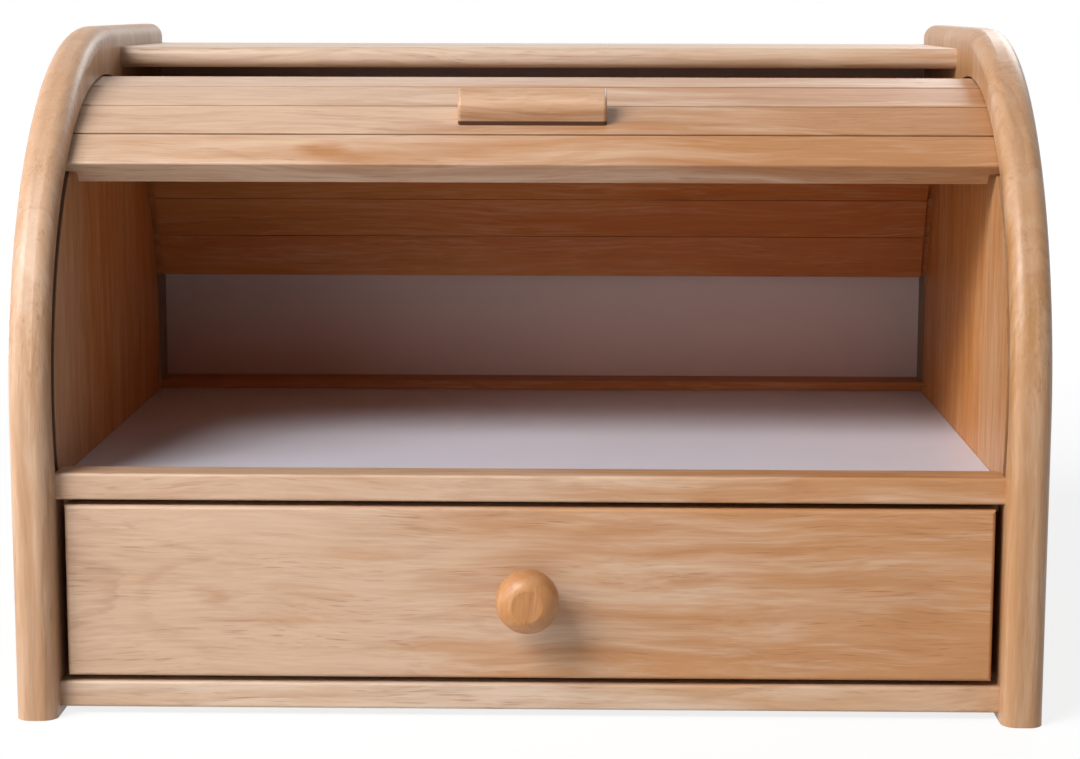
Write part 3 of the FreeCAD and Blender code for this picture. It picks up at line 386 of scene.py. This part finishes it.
def sawn_wood():
    """Solid wood cut from a log: X runs along the grain, and lengths are millimetres."""
    tree, given, put = new_group(
        "Sawn Wood",
        [
            ("Vector", "Vector", None),
            ("Pale", "Color", None),
            ("Warm", "Color", None),
            ("Dark", "Color", None),
            ("Tone", "Float", 0.5),
            ("Ring Spacing", "Float", 4.0),
            ("Pith Across", "Float", 0.0),
            ("Pith Depth", "Float", 60.0),
            ("Lean", "Float", 0.02),
            ("Figure", "Float", 0.2),
            ("Patches", "Float", 0.6),
            ("Streaks", "Float", 0.6),
            ("Pores", "Float", 0.35),
            ("End Grain", "Float", 0.0),
            ("Knot Place", "Vector", (0.0, 0.0, 5000.0)),
            ("Knot Size", "Float", 6.0),
        ],
        [("Color", "Color"), ("Roughness", "Float"), ("Height", "Float")],
    )
    knot, swirl = knot_in(tree, given)
    drift = tree.noise(given["Vector"], DRIFT, output="Color")
    vector = tree.vector("MULTIPLY_ADD", drift, DRIFT_REACH, given["Vector"])
    rings, late = growth_rings(tree, given, vector, swirl)
    patch = tree.noise(vector, PATCH)
    streak = tree.noise(vector, STREAK)
    band = tree.noise_along(rings, RING_BAND)
    fleck = tree.noise(vector, FLECK)
    pores = tree.step(tree.noise(vector, PORE), *PORE_EDGE)
    pores = tree.math("MULTIPLY", pores, tree.step(tree.noise(vector, PORE_CROWD), *CROWD_EDGE))
    ends = tree.step(given["End Grain"], *END_EDGE)
    calm = tree.step(given["End Grain"], *CALM_EDGE, 1.0, CALM)

    tone = tree.math("ADD", tree.math("ADD", patch, band), streak)
    tone = tree.math("SUBTRACT", tone, 3 * NOISE_MIDDLE)
    spread = tree.math("MULTIPLY", tree.math("MULTIPLY", given["Patches"], TONE_SPREAD), calm)
    tone = tree.math("MULTIPLY_ADD", tone, spread, given["Tone"])
    tone = tree.math("ADD", tone, knot, clamp=True)
    grain = tree.math("SUBTRACT", fleck, NOISE_MIDDLE)
    streak = tree.math("SUBTRACT", streak, NOISE_MIDDLE)
    grain = tree.math("MULTIPLY_ADD", streak, STREAK_SHARE, grain)
    grain = tree.math("MULTIPLY", grain, tree.math("MULTIPLY", given["Streaks"], calm))
    shade = tree.math("MULTIPLY_ADD", late, given["Figure"], grain)
    shade = tree.math("MULTIPLY_ADD", pores, given["Pores"], shade)
    shade = tree.math("MULTIPLY_ADD", knot, KNOT_SHADE, shade)
    shade = tree.math("MULTIPLY_ADD", ends, END_SHADE, shade, clamp=True)
    tint = tree.blend(tone, given["Pale"], given["Warm"])
    tint = tree.blend(shade, tint, given["Dark"])
    tint = tree.blend(tree.math("MULTIPLY", grain, LIFT, clamp=True), tint, LIFT_COLOUR)
    tree.feed(put["Color"], tint)
    rough = tree.math("MULTIPLY_ADD", pores, PORE_ROUGHNESS, BARE_ROUGHNESS)
    tree.feed(put["Roughness"], tree.math("MULTIPLY_ADD", fleck, FLECK_ROUGHNESS, rough))
    depth = tree.math("MULTIPLY", pores, PORE_DEPTH)
    height = tree.math("SUBTRACT", tree.math("MULTIPLY", fleck, FLECK_HEIGHT), depth)
    tree.feed(put["Height"], height)
    return tree.tree


def glued_staves():
    """Strips side by side along Y, each cut from another place in the log."""
    tree, given, put = new_group(
        "Glued Staves",
        [("Vector", "Vector", None), ("Width", "Float", 45.0)],
        [("Vector", "Vector"), ("Tone", "Float"), ("Joint", "Float")],
    )
    count = tree.math("DIVIDE", tree.split(given["Vector"])[1], given["Width"])
    number = tree.math("FLOOR", count)
    draw = tree.add("ShaderNodeTexWhiteNoise", {"W": number}, noise_dimensions="1D").outputs
    tree.feed(put["Vector"], tree.vector("MULTIPLY_ADD", draw["Color"], STAVE_SHIFT, given["Vector"]))
    tree.feed(put["Tone"], draw["Value"])
    edge = tree.math("PINGPONG", tree.math("FRACT", count), 0.5)
    edge = tree.math("MULTIPLY", edge, given["Width"])
    tree.feed(put["Joint"], tree.step(edge, *GLUE_EDGE, 1.0, 0.0))
    return tree.tree


# ---- finishes -------------------------------------------------------------------------------------


def shared_group(name, build):
    """A node group that is built the first time a material needs it."""
    return bpy.data.node_groups.get(name) or build()


def new_material(name):
    material = bpy.data.materials.new(name)
    material.use_nodes = True
    return material, Tree(material.node_tree), material.node_tree.nodes["Principled BSDF"].inputs


class Wood:
    """The lacquered wood of one piece.

    grain turns the board so that its length is X, cut_from is its place in the log, and end_axis is
    the way that its ends look. Other names are inputs of Sawn Wood.
    """

    def __init__(self, name, grain=ALONG_X, cut_from=(0.0, 0.0, 0.0), tone=0.5, end_axis=None, **look):
        self.sizes = bpy.context.scene.bread_box_wood
        self.tone = tone
        self.material, self.tree, self.shader = new_material(name)
        self.place = self.tree.object_place()
        self.normal = self.tree.normal()
        board = {"Vector": self.place, "Location": cut_from, "Rotation": grain, "Scale": TO_MM}
        self.look = {
            "Vector": self.tree.add("ShaderNodeMapping", board).outputs[0],
            "Pale": opaque(self.sizes.pale),
            "Warm": opaque(self.sizes.warm),
            "Dark": opaque(self.sizes.dark),
            "Ring Spacing": self.sizes.ring_spacing / MM,
            "Tone": tone,
        }
        self.look.update({name.replace("_", " ").title(): value for name, value in look.items()})
        group = shared_group("Sawn Wood", sawn_wood)
        sawn = self.tree.add("ShaderNodeGroup", self.look, node_tree=group)
        self.cut = sawn.inputs
        facing = self.tree.vector("DOT_PRODUCT", self.normal, end_axis or GRAIN_AXIS[grain])
        self.tree.feed(self.cut["End Grain"], self.tree.math("ABSOLUTE", facing))
        self.tint = sawn.outputs["Color"]
        self.tree.feed(self.shader["Base Color"], self.tint)
        self.tree.feed(self.shader["Roughness"], sawn.outputs["Roughness"])
        relief = self.tree.bump(*WOOD_RELIEF, sawn.outputs["Height"])
        self.tree.feed(self.shader["Normal"], relief)
        self.shader["Coat Weight"].default_value = self.sizes.lacquer
        self.shader["Coat Roughness"].default_value = COAT_ROUGHNESS

    def lay_over(self, mask, tint):
        """Lays a colour over the wood where the mask is high."""
        self.tint = self.tree.blend(mask, self.tint, opaque(tint))
        self.tree.feed(self.shader["Base Color"], self.tint)

    def strip_lacquer(self, mask, other=0.0):
        """Takes the clear coat off where either mask is high."""
        bare = self.tree.math("MAXIMUM", mask, other)
        lacquer = self.sizes.lacquer
        coat = self.tree.math("MULTIPLY_ADD", bare, -lacquer, lacquer)
        self.tree.feed(self.shader["Coat Weight"], coat)

    def glue_staves(self):
        """Cuts the board up into strips with tones of their own and fine glue lines."""
        given = {"Vector": self.look["Vector"], "Width": self.sizes.stave_width / MM}
        group = shared_group("Glued Staves", glued_staves)
        strips = self.tree.add("ShaderNodeGroup", given, node_tree=group).outputs
        self.tree.feed(self.cut["Vector"], strips["Vector"])
        lowest = self.tone - STAVE_TONES / 2
        tone = self.tree.math("MULTIPLY_ADD", strips["Tone"], STAVE_TONES, lowest)
        self.tree.feed(self.cut["Tone"], tone)
        self.lay_over(self.tree.math("MULTIPLY", strips["Joint"], GLUE_LINE), self.sizes.dark)

    def light_from_left(self, light_slope):
        """Makes the board warmer over a metre of the box's width by this much: the paler left is painted
        light from the lamps there.
        """
        right = self.tree.split(self.place)[0]
        self.tree.feed(self.cut["Tone"], self.tree.math("MULTIPLY_ADD", right, light_slope, self.tone))

    def from_middle(self):
        """How far a place is from the box's middle plane."""
        return self.tree.math("ABSOLUTE", self.tree.split(self.place)[0])

    def in_circle(self, radius):
        """1 within a circle about the tambour's axis."""
        out = self.tree.vector("SUBTRACT", self.place, TAMBOUR_AXIS)
        out = self.tree.vector("LENGTH", self.tree.vector("MULTIPLY", out, (0.0, 1.0, 1.0)))
        return self.tree.step(out, radius - GROOVE_MARGIN, radius + GROOVE_MARGIN, 1.0, 0.0)

    def shade_inside(self, half_width, radius, pale, warm):
        """Paints shade inside the box on the wood up to half_width from the middle, within a circle about
        the tambour's axis.
        """
        tree = self.tree
        shadowed = tree.step(self.from_middle(), half_width, half_width + MM, 1.0, 0.0)
        shadowed = tree.math("MULTIPLY", shadowed, self.in_circle(radius))
        back = tree.split(self.place)[1]
        shadowed = tree.math("MULTIPLY", shadowed, tree.step(back, *FRONT_OF_SHADE, SHADE_AT_FRONT, 1.0))
        tree.feed(self.cut["Pale"], tree.blend(shadowed, self.look["Pale"], opaque(pale)))
        tree.feed(self.cut["Warm"], tree.blend(shadowed, self.look["Warm"], opaque(warm)))
        return shadowed

    def shade_groove(self, half_width, radius, groove_shade):
        """Paints shade in the groove beyond half_width from the middle, and on the strip of the wall behind
        it.
        """
        tree = self.tree
        off_middle = self.from_middle()
        shallow, deep = GROOVE_MOUTH
        reach = half_width + GROOVE_REACH
        groove = tree.step(off_middle, half_width + shallow, half_width + deep)
        groove = tree.math("MULTIPLY", groove, self.in_circle(radius))
        groove = tree.math("MULTIPLY", groove, tree.step(off_middle, reach, reach + MM, 1.0, 0.0))
        _, back, up = tree.split(self.place)
        behind = tree.step(up, *SHADE_BEHIND_TOP, SHADE_BEHIND, 0.0)
        behind = tree.math("MULTIPLY", tree.step(back, *BEHIND_GROOVE), behind)
        flat = tree.step(off_middle, half_width, half_width + MM, 1.0, 0.0)
        behind = tree.math("MULTIPLY", behind, flat)
        self.lay_over(tree.math("MULTIPLY_ADD", groove, groove_shade, behind), self.sizes.painted_shade)
        return tree.math("MAXIMUM", groove, behind)

    def shade_seam(self, way):
        """Paints shade on the long edge that looks this way, where the gap between slats is in shadow."""
        edge = self.tree.vector("DOT_PRODUCT", self.normal, way)
        self.lay_over(self.tree.step(edge, *SEAM_TURN, 0.0, SEAM_SHADE), self.sizes.painted_shade)

    def shade_below(self, height):
        """Paints shadow on the wood below a height, in the corner under the handle, and takes the coat off
        there.
        """
        up = self.tree.split(self.place)[2]
        shaded = self.tree.step(up, height, height + CORNER_EDGE, CORNER_SHADE, 0.0)
        self.lay_over(shaded, self.sizes.painted_shade)
        self.strip_lacquer(shaded)


def white_board(name, good_face, white=None):
    """Hardboard with one white face; good_face is the way that the face looks."""
    sizes = bpy.context.scene.bread_box_boards
    material, tree, shader = new_material(name)
    place = tree.vector("MULTIPLY", tree.object_place(), TO_MM)
    face = tree.step(tree.vector("DOT_PRODUCT", tree.normal(), good_face), *FACE_EDGE)
    cloud = tree.step(tree.noise(place, BOARD_CLOUD), *CLOUD_EDGE, 0.0, CLOUD_SHADE)
    white = tree.blend(cloud, opaque(white or sizes.white), GREY_CLOUD)
    fibres = tree.noise(place, BOARD_FIBRE)
    brown = tree.blend(tree.step(fibres, *CLOUD_EDGE), opaque(sizes.fibre), DARK_FIBRE)
    relief = tree.blend(face, fibres, tree.noise(place, ORANGE_PEEL))
    tree.feed(shader["Base Color"], tree.blend(face, brown, white))
    tree.feed(shader["Roughness"], tree.step(face, 0.0, 1.0, *BOARD_ROUGHNESS))
    tree.feed(shader["Normal"], tree.bump(*BOARD_RELIEF, relief))
    shader["Specular IOR Level"].default_value = BOARD_SHINE
    return material


def steel(name):
    sizes = bpy.context.scene.bread_box_boards
    material, tree, shader = new_material(name)
    place = tree.vector("MULTIPLY", tree.object_place(), TO_MM)
    cloud = tree.noise(place, STEEL_CLOUD)
    tree.feed(shader["Base Color"], tree.blend(cloud, opaque(sizes.steel), DULL_STEEL))
    tree.feed(shader["Roughness"], tree.step(cloud, *CLOUD_EDGE, *STEEL_ROUGHNESS))
    tree.feed(shader["Normal"], tree.bump(*STEEL_RELIEF, cloud))
    shader["Metallic"].default_value = 1.0
    return material


def twisted_cord(name):
    sizes = bpy.context.scene.bread_box_boards
    material, tree, shader = new_material(name)
    place = tree.vector("MULTIPLY", tree.object_place(), TO_MM)
    lay = tree.noise(place, CORD_LAY)
    tree.feed(shader["Base Color"], tree.blend(lay, opaque(sizes.cord), DARK_CORD))
    tree.feed(shader["Roughness"], tree.step(lay, *CLOUD_EDGE, *CORD_ROUGHNESS))
    tree.feed(shader["Normal"], tree.bump(*CORD_RELIEF, lay))
    return material


def dress(node, material):
    """Gives a CAD node its finish."""
    item = frame["nodes"][node]
    for slot in item.material_slots:
        slot.material = material
    if not item.material_slots:
        item.data.materials.append(material)


# ---- operators: one for each group of pieces ------------------------------------------------------


class BREADBOX_OT_sides(bpy.types.Operator):
    """Finish the two side panels, glued from upright strips"""

    bl_idname = "bread_box.sides"
    bl_label = "Side Panels"

    def execute(self, context):
        sizes = context.scene.bread_box_wood
        inner_face = min(abs(corner.x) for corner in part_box("shelf_panel"))
        groove_radius = max(
            abs(corner.z - TAMBOUR_AXIS[2]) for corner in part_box("tambour_slat_06")
        )
        panels = (
            # The last number is how dark the groove's painted shade is; the left groove lies in shade and
            # gets more.
            ("side_left", (310.0, 22.0, 0.0), 0.62, 0.85),
            # The right panel's darker tone is painted shade on the side away from the lamps.
            ("side_right", (-420.0, 9.0, 50.0), 0.92, 0.3),
        )
        for node, cut_from, tone, groove_shade in panels:
            name = f"Stave Panel {node}"
            panel = Wood(name, ALONG_Z, cut_from, tone, warm=opaque(sizes.deep), patches=0.45)
            panel.glue_staves()
            # Painted shade on the inside faces, lighter towards the front.
            shadowed = panel.shade_inside(inner_face, groove_radius, sizes.shadowed_pale, sizes.shadowed)
            # Painted shade in the groove and on the strip of wall behind it.
            shaded = panel.shade_groove(inner_face, groove_radius, groove_shade)
            panel.strip_lacquer(shadowed, shaded)
            dress(node, panel.material)
        return {"FINISHED"}


class BREADBOX_OT_rails(bpy.types.Operator):
    """Finish the rails and the top board"""

    bl_idname = "bread_box.rails"
    bl_label = "Rails and Top Board"

    def execute(self, context):
        sizes = context.scene.bread_box_wood
        # Paler colours: painted sheen on the top board and painted bounce light on the base rail.
        lamplit = {"tone": 0.35, "pale": opaque(sizes.lamplit), "warm": opaque(sizes.lamplit_warm)}
        front = {"tone": 0.45}
        rear = {"tone": 0.8}
        # The last column is a slope of painted light, paler towards the lamps at the left; the rear rails
        # have none.
        boards = (
            ("shelf_front_rail", front, 2.6),
            ("base_front_rail", lamplit, 2.0),
            ("shelf_rear_rail", rear, None),
            ("base_rear_rail", rear, None),
            ("top_board", lamplit, 2.0),
        )
        for number, (node, look, light_slope) in enumerate(boards):
            cut_from = (170.0 * number, 60.0 * number, 45.0 * number)
            rail = Wood(f"Rail Wood {node}", cut_from=cut_from, pith_depth=90.0, **look)
            if light_slope:
                rail.light_from_left(light_slope)
            else:
                # The rear rails lie inside the box and take its painted shade all over.
                rail.strip_lacquer(rail.shade_inside(EVERYWHERE, EVERYWHERE, sizes.deep_shade_pale, sizes.deep_shade))
            dress(node, rail.material)
        return {"FINISHED"}


class BREADBOX_OT_tambour(bpy.types.Operator):
    """Finish the slats of the tambour, the handle and the cords"""

    bl_idname = "bread_box.tambour"
    bl_label = "Tambour"

    def execute(self, context):
        sizes = context.scene.bread_box_wood
        for number, node in enumerate(SLATS):
            low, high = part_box(node)
            centre = (low + high) / 2
            out = centre - Vector(TAMBOUR_AXIS)
            out.x = 0.0
            turn = math.atan2(out.y, out.z)
            cut_from = (233.0 * number, 71.0 * number, 37.0 * number)
            look = {"tone": 0.58, "end_axis": (1.0, 0.0, 0.0), "figure": 0.15, "warm": opaque(sizes.slat)}
            if node == SLATS[0]:
                knot = centre + out.normalized() * LEAD_KNOT_OUT
                knot.x = LEAD_KNOT_RIGHT
                look["knot_place"] = Matrix.Rotation(turn, 3, "X") @ knot / MM
            slat = Wood(f"Slat Wood {number + 1}", (turn, 0.0, 0.0), cut_from, **look)
            # Paler at the left: painted light from the lamps there.
            slat.light_from_left(light_slope=4.5)
            if node != SLATS[0]:
                # The slats' inside faces take the painted shade of the box's inside.
                slat.strip_lacquer(slat.shade_inside(EVERYWHERE, out.length, sizes.deep_shade_pale, sizes.deep_shade))
                # Painted shade on the seam's edge, in the gap between slats.
                slat.shade_seam((0.0, -math.cos(turn), math.sin(turn)))
            dress(node, slat.material)
        handle = Wood("Handle Wood", cut_from=(40.0, 20.0, 90.0))
        # Painted shadow in the corner under the handle.
        handle.shade_below(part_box("tambour_handle")[0].z + CORNER_HEIGHT)
        dress("tambour_handle", handle.material)
        dress("tambour_cords", twisted_cord("Nylon Cord"))
        dress("handle_screws", steel("Zinc Handle Screws"))
        return {"FINISHED"}


class BREADBOX_OT_drawer(bpy.types.Operator):
    """Finish the drawer's front, box and knob"""

    bl_idname = "bread_box.drawer"
    bl_label = "Drawer"

    def execute(self, context):
        sizes = context.scene.bread_box_wood
        front = Wood("Drawer Front Wood", lean=0.05, knot_place=DRAWER_KNOT)
        # Paler at the left: painted light from the lamps there.
        front.light_from_left(light_slope=3.0)
        dress("drawer_front", front.material)
        for number, node in enumerate(("drawer_side_left", "drawer_side_right")):
            cut_from = (90.0 * number, 33.0, 12.0)
            dress(node, Wood(f"Drawer Side Wood {number + 1}", ALONG_Y, cut_from).material)
        dress("drawer_back", Wood("Drawer Back Wood", cut_from=(300.0, 44.0, 8.0)).material)
        dress("drawer_knob", Wood("Turned Wood", ALONG_Z, tone=0.8, warm=opaque(sizes.turned)).material)
        dress("knob_screw", steel("Zinc Knob Screw"))
        dress("drawer_dowels", Wood("Drawer Dowel Wood", ALONG_Y, tone=0.1).material)
        dress("drawer_bottom", white_board("White Drawer Bottom", UP))
        dress("drawer_bottom_pins", steel("Bright Drawer Pins"))
        return {"FINISHED"}


class BREADBOX_OT_inside(bpy.types.Operator):
    """Finish the white boards, runners, kickers, dowels and fasteners of the case"""

    bl_idname = "bread_box.inside"
    bl_label = "Inside of the Case"

    def execute(self, context):
        dress("shelf_panel", white_board("White Shelf", UP))
        dress("base_panel", white_board("White Base", UP))
        # The back's own colour paints the warm light bounced from the wood inside.
        dress("back_panel", white_board("White Back", TO_FRONT, context.scene.bread_box_boards.back))
        strips = ("drawer_runner_left", "drawer_runner_right", "drawer_kicker_left", "drawer_kicker_right")
        for number, node in enumerate(strips):
            cut_from = (70.0 * number, 25.0 * number, 0.0)
            dress(node, Wood(f"Strip Wood {number + 1}", ALONG_Y, cut_from).material)
        for node in ("rail_dowels", "top_board_dowels"):
            dress(node, Wood(f"Dowel Wood {node}", tone=0.1).material)
        dress("kicker_screws", steel("Zinc Kicker Screws"))
        dress("back_panel_pins", steel("Bright Back Pins"))
        return {"FINISHED"}


class BREADBOX_OT_stage(bpy.types.Operator):
    """Set up the camera, the floor, the lamps and the world"""

    bl_idname = "bread_box.stage"
    bl_label = "Stage"

    def execute(self, context):
        stage = context.scene.bread_box_stage
        context.scene.view_settings.view_transform = "Standard"
        self.camera(context, stage)
        self.floor(context, stage)
        for setting, (name, place) in LAMPS.items():
            self.lamp(context, name, place, getattr(stage, setting))
        self.world(context, stage)
        return {"FINISHED"}

    def camera(self, context, stage):
        camera = bpy.data.objects.new("Camera", bpy.data.cameras.new("Camera"))
        context.scene.collection.objects.link(camera)
        camera.location = stage.place
        camera.rotation_euler = (math.pi / 2 - stage.pitch, -stage.roll, stage.yaw)
        camera.data.sensor_width = SENSOR_WIDTH
        camera.data.lens = stage.lens / MM
        context.scene.camera = camera

    def lamp(self, context, name, place, energy):
        light = bpy.data.lights.new(name, "AREA")
        light.shape = "DISK"
        light.size = LAMP_WIDTH
        light.energy = energy
        lamp = bpy.data.objects.new(name, light)
        lamp.location = place
        lamp.rotation_euler = (Vector(LAMP_AIM) - lamp.location).to_track_quat("-Z", "Y").to_euler()
        context.scene.collection.objects.link(lamp)

    def floor(self, context, stage):
        mesh = bpy.data.meshes.new("floor")
        work = bmesh.new()
        bmesh.ops.create_grid(work, x_segments=1, y_segments=1, size=FLOOR_HALF_WIDTH)
        work.to_mesh(mesh)
        work.free()
        floor = bpy.data.objects.new("floor", mesh)
        context.scene.collection.objects.link(floor)
        material = bpy.data.materials.new("Studio Floor")
        material.use_nodes = True
        material.node_tree.nodes.clear()
        tree = Tree(material.node_tree)
        lit = tree.add("ShaderNodeBsdfDiffuse", {"Color": opaque(stage.ground)})
        glow = tree.add("ShaderNodeEmission", {"Color": WHITE, "Strength": FLOOR_GLOW})
        away = tree.vector("LENGTH", tree.object_place())
        glowing = tree.step(away, *GLOW_EDGE, *GLOW_SHARE)
        glowing = tree.math("MULTIPLY", self.seen(tree), glowing)
        mixed = tree.add("ShaderNodeMixShader", {0: glowing, 1: lit.outputs[0], 2: glow.outputs[0]})
        tree.add("ShaderNodeOutputMaterial", {"Surface": mixed.outputs[0]})
        mesh.materials.append(material)

    def seen(self, tree):
        """1 for rays that show the stage to the camera, in gloss or through glass.

        A ray that has left a matt wall first is lit by the lamps alone.
        """
        rays = tree.add("ShaderNodeLightPath").outputs
        shown = tree.math("MAXIMUM", rays["Is Camera Ray"], rays["Is Glossy Ray"])
        shown = tree.math("MAXIMUM", shown, rays["Is Transmission Ray"])
        direct = tree.math("LESS_THAN", rays["Diffuse Depth"], FIRST_BOUNCE)
        return tree.math("MULTIPLY", shown, direct)

    def world(self, context, stage):
        """A white backdrop, and light from above at the right."""
        world = bpy.data.worlds.new("Studio")
        context.scene.world = world
        world.use_nodes = True
        world.node_tree.nodes.clear()
        tree = Tree(world.node_tree)
        right, _, up = tree.split(tree.add("ShaderNodeTexCoord").outputs["Generated"])
        dome = tree.step(up, *SKY_RISE, 0.0, stage.sky)
        dome = tree.math("MULTIPLY", dome, tree.step(right, *SKY_TO_RIGHT))
        strength = tree.step(self.seen(tree), 0.0, 1.0, dome, 1.0)
        light = tree.add("ShaderNodeBackground", {"Color": WHITE, "Strength": strength})
        tree.add("ShaderNodeOutputWorld", {"Surface": light.outputs[0]})


# ---- add-on ---------------------------------------------------------------------------------------

SETTINGS = (
    ("bread_box_wood", BreadBoxWood),
    ("bread_box_boards", BreadBoxBoards),
    ("bread_box_stage", BreadBoxStage),
)
MAKERS = (
    BREADBOX_OT_stage,
    BREADBOX_OT_sides,
    BREADBOX_OT_rails,
    BREADBOX_OT_inside,
    BREADBOX_OT_tambour,
    BREADBOX_OT_drawer,
)


class BREADBOX_PT_panel(bpy.types.Panel):
    """Sizes, colours and makers of the bread box"""

    bl_idname = "BREADBOX_PT_panel"
    bl_label = "Bread Box"
    bl_space_type = "VIEW_3D"
    bl_region_type = "UI"
    bl_category = "Bread Box"

    def draw(self, context):
        for name, group in SETTINGS:
            box = self.layout.box()
            for setting in group.__annotations__:
                box.prop(getattr(context.scene, name), setting)
        for maker in MAKERS:
            self.layout.operator(maker.bl_idname)


def register():
    for name, group in SETTINGS:
        bpy.utils.register_class(group)
        setattr(bpy.types.Scene, name, PointerProperty(type=group))
    for maker in MAKERS:
        bpy.utils.register_class(maker)
    bpy.utils.register_class(BREADBOX_PT_panel)


def unregister():
    bpy.utils.unregister_class(BREADBOX_PT_panel)
    for maker in reversed(MAKERS):
        bpy.utils.unregister_class(maker)
    for name, group in reversed(SETTINGS):
        delattr(bpy.types.Scene, name)
        bpy.utils.unregister_class(group)


def main():
    register()
    for maker in MAKERS:
        family, name = maker.bl_idname.split(".")
        getattr(getattr(bpy.ops, family), name)()


if __name__ == "__main__":
    main()
